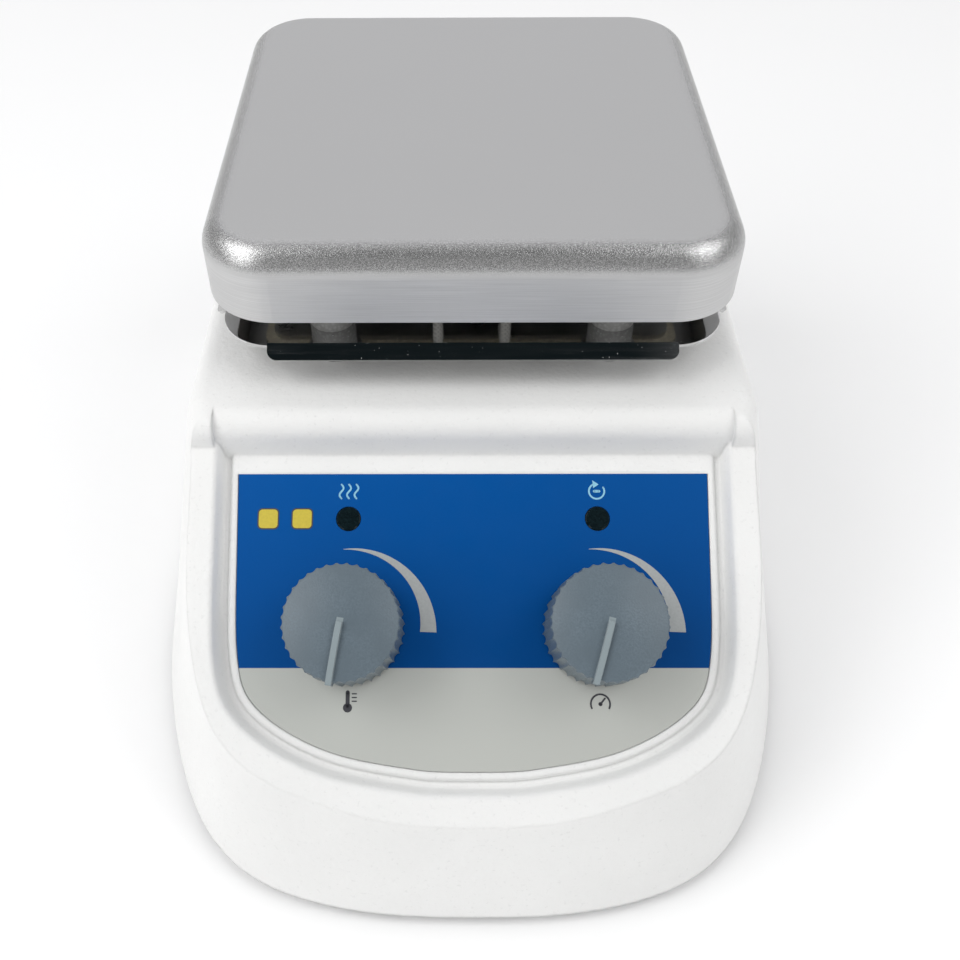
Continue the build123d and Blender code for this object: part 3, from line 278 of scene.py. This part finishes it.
def window(name, _color):
    """Smoked window: nearly black, with faint teal mottling. The slot's own colour isn't used."""
    look = Look(name, SMOKE_DARK, 0.12)
    mottle = look.noise(0.0006, 2.0)
    look.put("Base Color", look.mix(look.span(mottle, 0.4, 0.8), SMOKE_DARK, SMOKE_LIGHT))
    look.put("Roughness", look.span(mottle, 0.3, 0.7, 0.12, 0.18))
    look.put("Specular IOR Level", 0.3)
    look.bump(look.noise(0.0012), 0.00001, None, 0.3)
    return look.material


def clear_glass(name, color):
    look = Look(name, color, 0.04)
    look.put("Base Color", look.mix(look.span(look.noise(0.003), 0.3, 0.7), color, shade(color, 0.9)))
    look.put("Transmission Weight", 0.85)
    look.put("IOR", 1.48)
    return look.material


# ---- the sloping panel, found from the label and the dials ----
SLOPE = math.radians(31.0)
FILM = 0.5 * MM
UP_SLOPE = Vector((0.0, math.cos(SLOPE), math.sin(SLOPE)))
OUTWARD = Vector((0.0, -math.sin(SLOPE), math.cos(SLOPE)))
label_low, label_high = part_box("control_label")
LABEL_TOP = Vector((0.0, label_high.y - FILM * math.sin(SLOPE), label_high.z))
LABEL_DEPTH = (LABEL_TOP.z - label_low.z) / math.sin(SLOPE) - FILM * math.cos(SLOPE) / math.sin(SLOPE)
GREY_SHARE = 0.665            # how far down the label the blue print ends
DIALS = {"heat_knob": ("heat_pot_shaft", 190.0), "speed_knob": ("speed_pot_shaft", 195.0)}


def on_label(x, w, lift=0.0):
    """Point on the label's face: x across, w down the slope from its top edge, lift above it."""
    return LABEL_TOP + Vector((x, 0.0, 0.0)) - UP_SLOPE * w + OUTWARD * lift


def panel_place(node):
    """Where the middle of a node falls on the label."""
    low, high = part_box(node)
    middle = (low + high) / 2
    return middle.x, (LABEL_TOP - middle).dot(UP_SLOPE)


def printed_film(name, blue):
    """Printed overlay: blue above and light grey below, both with painted shade that darkens them towards
    the lower right.
    """
    look = Look(name, blue, 0.42)
    look.put("Specular IOR Level", 0.08)
    blue = (blue[0] * 0.05, blue[1] * 0.68, blue[2] * 0.82)
    down = look.along(tuple(-UP_SLOPE), tuple(LABEL_TOP))
    across = look.along((1.0, 0.0, 0.0))
    edge = LABEL_DEPTH * GREY_SHARE
    lower = look.span(down, edge - 0.00006, edge + 0.00006)
    # painted shade: both inks get darker down the label and towards its right
    shade_downwards = look.span(down, 0.0, LABEL_DEPTH, 0.0, 0.7)
    shade_rightwards = look.span(across, -0.05, 0.05, 0.0, 0.3)
    painted_shade = look.math("ADD", shade_downwards, shade_rightwards)
    mottle = look.noise(0.0004, 2.0)
    bright = look.mix(mottle, shade(blue, 0.95), shade(blue, 1.08))
    shaded_blue_ink = look.mix(painted_shade, bright, shade(blue, 0.6))
    shaded_grey_ink = look.mix(painted_shade, (0.54, 0.56, 0.53), (0.5, 0.51, 0.48))
    look.put("Base Color", look.mix(lower, shaded_blue_ink, shaded_grey_ink))
    look.put("Roughness", look.span(look.noise(0.006), 0.3, 0.7, 0.38, 0.48))
    look.bump(mottle, 0.00002, None, 0.4)
    return look.material


def ink(name, color):
    """Screen-printed ink with slightly uneven cover."""
    look = Look(name, color, 0.4)
    cover = look.noise(0.0005, 2.0)
    look.put("Base Color", look.mix(look.span(cover, 0.3, 0.7), shade(color, 0.9), color))
    look.bump(cover, 0.00001, None, 0.4)
    return look.material


POINTER_COLOR = (0.25, 0.3, 0.32)


def knob_look(name, color, knob):
    """Knob plastic: grained moulding with a lighter pointer."""
    color = (color[0] * 0.94, color[1], color[2] * 0.96)
    look = Look(name, color, 0.42)
    look.put("Specular IOR Level", 0.4)
    low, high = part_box(DIALS[knob][0])
    shaft = tuple((low + high) / 2)
    clock = math.radians(DIALS[knob][1])
    pointing = UP_SLOPE * math.cos(clock) + Vector((math.sin(clock), 0.0, 0.0))
    top = max(OUTWARD.dot(corner.co) for corner in frame["nodes"][knob].data.vertices)
    reach = look.along(tuple(pointing), shaft)
    off_line = look.math("ABSOLUTE", look.along(tuple(pointing.cross(OUTWARD)), shaft))
    height = look.along(tuple(OUTWARD))
    on_line = look.span(off_line, 0.74 * MM, 0.66 * MM)
    past_shaft = look.span(reach, -0.9 * MM, -0.8 * MM)
    near_top = look.span(height, top - 3.1 * MM, top - 3.0 * MM)
    pointer = look.math("MULTIPLY", look.math("MULTIPLY", on_line, past_shaft), near_top)
    texture = look.noise(0.0004, 2.0)
    tone = look.mix(look.span(look.noise(0.006), 0.3, 0.7), shade(color, 0.9), shade(color, 1.1))
    speckle = look.mix(look.span(texture, 0.35, 0.65), shade(color, 0.9), tone)
    look.put("Base Color", look.mix(pointer, speckle, POINTER_COLOR))
    look.put("Roughness", look.span(texture, 0.3, 0.7, 0.3, 0.44))
    look.bump(texture, 0.00007, look.soft_edges(0.00035), 0.7)
    return look.material


def rocker_look(name, color):
    """Glossy rocker with a bar and ring painted in white by its material."""
    look = Look(name, color, 0.22)
    low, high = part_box("switch_rocker")
    middle = (low + high) / 2
    across = look.math("ABSOLUTE", look.along((1.0, 0.0, 0.0), tuple(middle)))
    upper = look.along((0.0, 0.0, 1.0), (middle.x, middle.y, middle.z + 0.0038))
    lower = look.math("ABSOLUTE", look.along((0.0, 0.0, 1.0), (middle.x, middle.y, middle.z - 0.0038)))
    squares = look.math("ADD", look.math("POWER", across, 2.0), look.math("POWER", upper, 2.0))
    from_ring = look.math("SQRT", squares)
    off_ring = look.math("ABSOLUTE", look.math("SUBTRACT", from_ring, 0.0013))
    ring = look.span(off_ring, 0.00032, 0.00024)
    bar = look.math("MULTIPLY", look.span(across, 0.00032, 0.00024), look.span(lower, 0.0016, 0.0015))
    mark = look.math("MAXIMUM", ring, bar)
    tone = look.mix(look.span(look.noise(0.004), 0.3, 0.7), shade(color, 0.8), shade(color, 1.3))
    look.put("Base Color", look.mix(mark, tone, (0.75, 0.75, 0.73)))
    look.bump(look.noise(0.0008), 0.00002, look.soft_edges(0.0004), 0.4)
    return look.material


FINISHES = {
    "casing": coated,
    "base_sheet": coated,
    "foot_rubber": lambda name, color: speckled(name, color, 0.85, 0.0006),
    "panel_film": printed_film,
    "plate_aluminium": blasted_plate,
    "polished_steel": polished,
    "mica": speckled,
    # spacer ceramic at 0.4 of its colour: painted shade of the dark gap between plate and shield
    "spacer_ceramic": lambda name, color: speckled(name, shade(color, 0.4)),
    "ferrite": speckled,
    "carbon": speckled,
    "glass_sleeve": woven,
    "circuit_board": board,
    "lamp_window": window,
    "diode_epoxy": window,
    "fuse_glass": clear_glass,
    "rocker_plastic": rocker_look,
    "magnet_nickel": lambda name, color: worked_metal(name, color, 0.16),
    "copper": lambda name, color: worked_metal(name, color, 0.3, 0.0009),
    "core_steel": lambda name, color: worked_metal(name, color, 0.45, 0.0005),
}
METALS = ("steel", "aluminium", "bronze", "pot_case", "pot_shaft", "contact_metal")


def finish_for(slot, color):
    if slot in FINISHES:
        return FINISHES[slot](slot + "_look", color)
    if any(word in slot for word in METALS):
        return worked_metal(slot + "_look", color)
    return moulded(slot + "_look", color)


colors = {entry["slot"]: tuple(entry["base_color"][:3]) for entry in frame["record"]["materials"]}
looks = {}
for node, shown in frame["nodes"].items():
    slot = shown.data.materials[0].name
    if slot == "knob_plastic":
        shown.material_slots[0].material = knob_look(node + "_look", colors[slot], node)
        continue
    if slot not in looks:
        looks[slot] = finish_for(slot, colors[slot])
    shown.material_slots[0].material = looks[slot]


# ---- print on the label ----
LIFT = 0.03 * MM
pale_ink = ink("pale_ink", (0.42, 0.44, 0.44))
cyan_ink = ink("cyan_ink", (0.28, 0.6, 0.78))
dark_ink = ink("dark_ink", (0.05, 0.05, 0.06))
yellow_ink = ink("yellow_ink", (0.62, 0.5, 0.05))


def print_piece(name, outlines, material, lift=LIFT):
    """Flat ink areas on the label. Each outline is a list of (x, w) corners."""
    mesh = bmesh.new()
    for outline in outlines:
        mesh.faces.new([mesh.verts.new(on_label(x, w, lift)) for x, w in outline])
    bmesh.ops.recalc_face_normals(mesh, faces=mesh.faces)
    for face in mesh.faces:
        if face.normal.dot(OUTWARD) < 0:
            face.normal_flip()
    data = bpy.data.meshes.new(name)
    mesh.to_mesh(data)
    mesh.free()
    data.materials.append(material)
    piece = bpy.data.objects.new(name, data)
    bpy.context.scene.collection.objects.link(piece)
    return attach(piece, "stirrer")


def stroke(points, width):
    """Outlines of a pen stroke with round joints and ends."""
    outlines = []
    for (x1, w1), (x2, w2) in zip(points, points[1:]):
        length = math.hypot(x2 - x1, w2 - w1)
        side_x, side_w = -(w2 - w1) / length * width / 2, (x2 - x1) / length * width / 2
        outlines.append([(x1 + side_x, w1 + side_w), (x2 + side_x, w2 + side_w),
                         (x2 - side_x, w2 - side_w), (x1 - side_x, w1 - side_w)])
    for x, w in (points[0], points[-1]):
        outlines.append(disc(x, w, width / 2, 16))
    return outlines


def disc(x, w, radius, sides=32):
    turns = [2 * math.pi * step / sides for step in range(sides)]
    return [(x + radius * math.cos(turn), w + radius * math.sin(turn)) for turn in turns]


def arc(x, w, radius, start, end, steps=28):
    """Points along an arc. Angles run clockwise from straight up the slope, in degrees."""
    turns = [math.radians(start + (end - start) * step / steps) for step in range(steps + 1)]
    return [(x + radius * math.sin(turn), w - radius * math.cos(turn)) for turn in turns]


def scale_wedge(x, w):
    """Quarter-turn scale that widens clockwise, as quads."""
    steps = 36
    outlines = []
    for step in range(steps):
        a, b = step / steps, (step + 1) / steps
        corners = [(17.95 - 2.2 * a, a), (18.05 + 1.35 * a, a), (18.05 + 1.35 * b, b), (17.95 - 2.2 * b, b)]
        outlines.append([arc(x, w, radius * MM, -5 + 97 * share, 0, 1)[0] for radius, share in corners])
    return outlines


def rounded_tile(x, w, size, corner):
    outline = []
    for turn, side_x, side_w in ((0, 1, -1), (90, 1, 1), (180, -1, 1), (270, -1, -1)):
        middle_x, middle_w = x + side_x * (size / 2 - corner), w + side_w * (size / 2 - corner)
        outline += arc(middle_x, middle_w, corner, turn, turn + 90, 6)
    return outline


heat_x, heat_w = panel_place("heat_pot_shaft")
speed_x, speed_w = panel_place("speed_pot_shaft")
heat_lamp_x, lamp_w = panel_place("heat_lamp_lens")
stir_lamp_x = panel_place("stir_lamp_lens")[0]

print_piece("heat_scale_print", scale_wedge(heat_x, heat_w), pale_ink)
print_piece("speed_scale_print", scale_wedge(speed_x, speed_w), pale_ink)

SIGN_W = lamp_w - 6.3 * MM    # the signs over the lamps
waves = []
for shift in (-1.7, 0.0, 1.7):
    waves += stroke([(heat_lamp_x + (shift + 0.45 * math.sin(step / 12 * 2 * math.pi)) * MM,
                      SIGN_W + (step / 12 - 0.5) * 3.2 * MM) for step in range(13)], 0.42 * MM)
print_piece("heat_sign_print", waves, cyan_ink)

swirl = stroke(arc(stir_lamp_x, SIGN_W, 1.75 * MM, 60, 330), 0.4 * MM)
head_x, head_w = arc(stir_lamp_x, SIGN_W, 1.75 * MM, 345, 0, 1)[0]
swirl.append([(head_x + 0.95 * MM, head_w + 0.1 * MM), (head_x - 0.45 * MM, head_w - 0.85 * MM),
              (head_x - 0.3 * MM, head_w + 0.95 * MM)])
swirl += stroke([(stir_lamp_x - 0.55 * MM, SIGN_W), (stir_lamp_x + 0.55 * MM, SIGN_W)], 0.6 * MM)
print_piece("stir_sign_print", swirl, cyan_ink)

NAME_W = heat_w + 15.6 * MM   # the signs under the knobs
thermometer = stroke([(heat_x, NAME_W - 1.9 * MM), (heat_x, NAME_W + 1.0 * MM)], 0.9 * MM)
thermometer.append(disc(heat_x, NAME_W + 1.4 * MM, 1.0 * MM))
for row in (-1.6, -0.8, 0.0):
    mark_w = NAME_W + row * MM
    thermometer += stroke([(heat_x + 1.0 * MM, mark_w), (heat_x + 1.9 * MM, mark_w)], 0.28 * MM)
print_piece("temperature_sign_print", thermometer, dark_ink)

gauge = stroke(arc(speed_x, NAME_W + 0.6 * MM, 2.1 * MM, -115, 115), 0.4 * MM)
gauge += stroke([(speed_x, NAME_W + 0.6 * MM), (speed_x + 1.0 * MM, NAME_W - 0.6 * MM)], 0.4 * MM)
gauge.append(disc(speed_x, NAME_W + 0.6 * MM, 0.45 * MM))
print_piece("speed_sign_print", gauge, dark_ink)

for number, tile_x in enumerate((-46.4 * MM, -38.7 * MM)):
    border = rounded_tile(tile_x, lamp_w, 4.9 * MM, 1.1 * MM)
    tile = rounded_tile(tile_x, lamp_w, 4.3 * MM, 0.85 * MM)
    print_piece(f"tile_border_{number}", [border], dark_ink)
    print_piece(f"tile_print_{number}", [tile], yellow_ink, 2 * LIFT)


# ---- floor, light and camera ----
def floor_look():
    look = Look("studio_floor", (0.96, 0.96, 0.96), 0.8)
    tone = look.span(look.noise(0.4, 3.0), 0.3, 0.7)
    look.put("Base Color", look.mix(tone, (0.95, 0.95, 0.95), (0.97, 0.97, 0.97)))
    look.bump(look.noise(0.003), 0.00005, None, 0.2)
    return look.material


FLOOR_RADIUS = 4.0
FLOOR_SIDES = 64
ground = bpy.data.meshes.new("studio_floor")
disk = bmesh.new()
rim = [disk.verts.new((FLOOR_RADIUS * math.cos(angle), FLOOR_RADIUS * math.sin(angle), 0.0))
       for angle in (2 * math.pi * step / FLOOR_SIDES for step in range(FLOOR_SIDES))]
disk.faces.new(rim)
disk.to_mesh(ground)
disk.free()
ground.materials.append(floor_look())
floor = bpy.data.objects.new("studio_floor", ground)
bpy.context.scene.collection.objects.link(floor)


def soft_light(name, place, aim, size, power):
    data = bpy.data.lights.new(name, "AREA")
    data.shape = "RECTANGLE"
    data.size, data.size_y = size
    data.energy = power
    light = bpy.data.objects.new(name, data)
    light.location = place
    light.rotation_mode = "QUATERNION"
    light.rotation_quaternion = (Vector(aim) - Vector(place)).to_track_quat("-Z", "Y")
    bpy.context.scene.collection.objects.link(light)


LIGHT_AIM = (0.0, 0.0, 0.05)
# name, place and size in metres, power in watts
SOFTBOXES = (
    ("left_softbox", (-1.0, -0.75, 0.7), (0.7, 0.6), 2.8),
    ("right_softbox", (1.05, -0.8, 0.7), (0.4, 0.45), 0.8),
    ("upper_left_softbox", (-0.8, -0.2, 1.1), (0.8, 0.8), 6.2),
    ("upper_right_softbox", (0.8, -0.2, 1.1), (0.8, 0.8), 4.4),
)
for title, place, size, power in SOFTBOXES:
    soft_light(title, place, LIGHT_AIM, size, power)


class Sky:
    """Pale studio surround that depends only on the direction in the room."""

    def __init__(self):
        world = bpy.data.worlds.new("studio")
        bpy.context.scene.world = world
        world.use_nodes = True
        self.tree = world.node_tree
        self.background = self.tree.nodes["Background"]
        self.direction = self.tree.nodes.new("ShaderNodeTexCoord").outputs["Generated"]

    def patch(self, toward, outer, inner):
        """1 near a direction and 0 away from it, between two angles in degrees."""
        dot = self.tree.nodes.new("ShaderNodeVectorMath")
        dot.operation = "DOT_PRODUCT"
        self.tree.links.new(self.direction, dot.inputs[0])
        dot.inputs[1].default_value = Vector(toward).normalized()
        step = self.tree.nodes.new("ShaderNodeMapRange")
        step.interpolation_type = "SMOOTHSTEP"
        self.tree.links.new(dot.outputs["Value"], step.inputs[0])
        step.inputs[1].default_value = math.cos(math.radians(outer))
        step.inputs[2].default_value = math.cos(math.radians(inner))
        return step.outputs[0]

    def layer(self, patch, base, color):
        node = self.tree.nodes.new("ShaderNodeMix")
        node.data_type = "RGBA"
        self.tree.links.new(patch, node.inputs[0])
        if isinstance(base, bpy.types.NodeSocket):
            self.tree.links.new(base, node.inputs[6])
        else:
            node.inputs[6].default_value = base
        node.inputs[7].default_value = color
        return node.outputs[2]


CEILING = (0.5, 0.5, 0.5, 1.0)
HORIZON = (0.86, 0.86, 0.86, 1.0)
REAR_WALL = (0.98, 0.98, 1.0, 1.0)
DARK_SPOT = (0.01, 0.015, 0.017, 1.0)     # the dark that the polished flange mirrors
sky = Sky()
room = sky.layer(sky.patch((0, 0, -1), 107, 88), CEILING, HORIZON)
room = sky.layer(sky.patch((0, 1, 0.9), 48, 24), room, REAR_WALL)
room = sky.layer(sky.patch((-0.02, -1.0, 2.6), 19, 10), room, DARK_SPOT)
sky.tree.links.new(room, sky.background.inputs["Color"])
sky.background.inputs["Strength"].default_value = 1.0

CAMERA_PLACE = (-0.0050, -0.2018, 0.24166)
FOCAL_LENGTH = 39.76          # mm, on a sensor 36 mm wide
FRAME_SHIFT = 0.0371
YAW, PITCH, ROLL = (math.radians(angle) for angle in (-0.5, 46.62, -0.43))
forward = Vector((math.sin(YAW) * math.cos(PITCH), math.cos(YAW) * math.cos(PITCH), -math.sin(PITCH)))
level = Vector((math.cos(YAW), -math.sin(YAW), 0.0))
above = level.cross(forward)
right = math.cos(ROLL) * level + math.sin(ROLL) * above
up = -math.sin(ROLL) * level + math.cos(ROLL) * above
lens = bpy.data.cameras.new("camera")
lens.sensor_width = 36.0
lens.lens = FOCAL_LENGTH
lens.shift_x = FRAME_SHIFT
lens.clip_start = 0.01
camera = bpy.data.objects.new("camera", lens)
turn = Matrix((right, up, -forward)).transposed().to_4x4()
camera.matrix_world = Matrix.Translation(CAMERA_PLACE) @ turn
bpy.context.scene.collection.objects.link(camera)
bpy.context.scene.camera = camera
bpy.context.scene.view_settings.view_transform = "Standard"

bpy.context.view_layer.update()
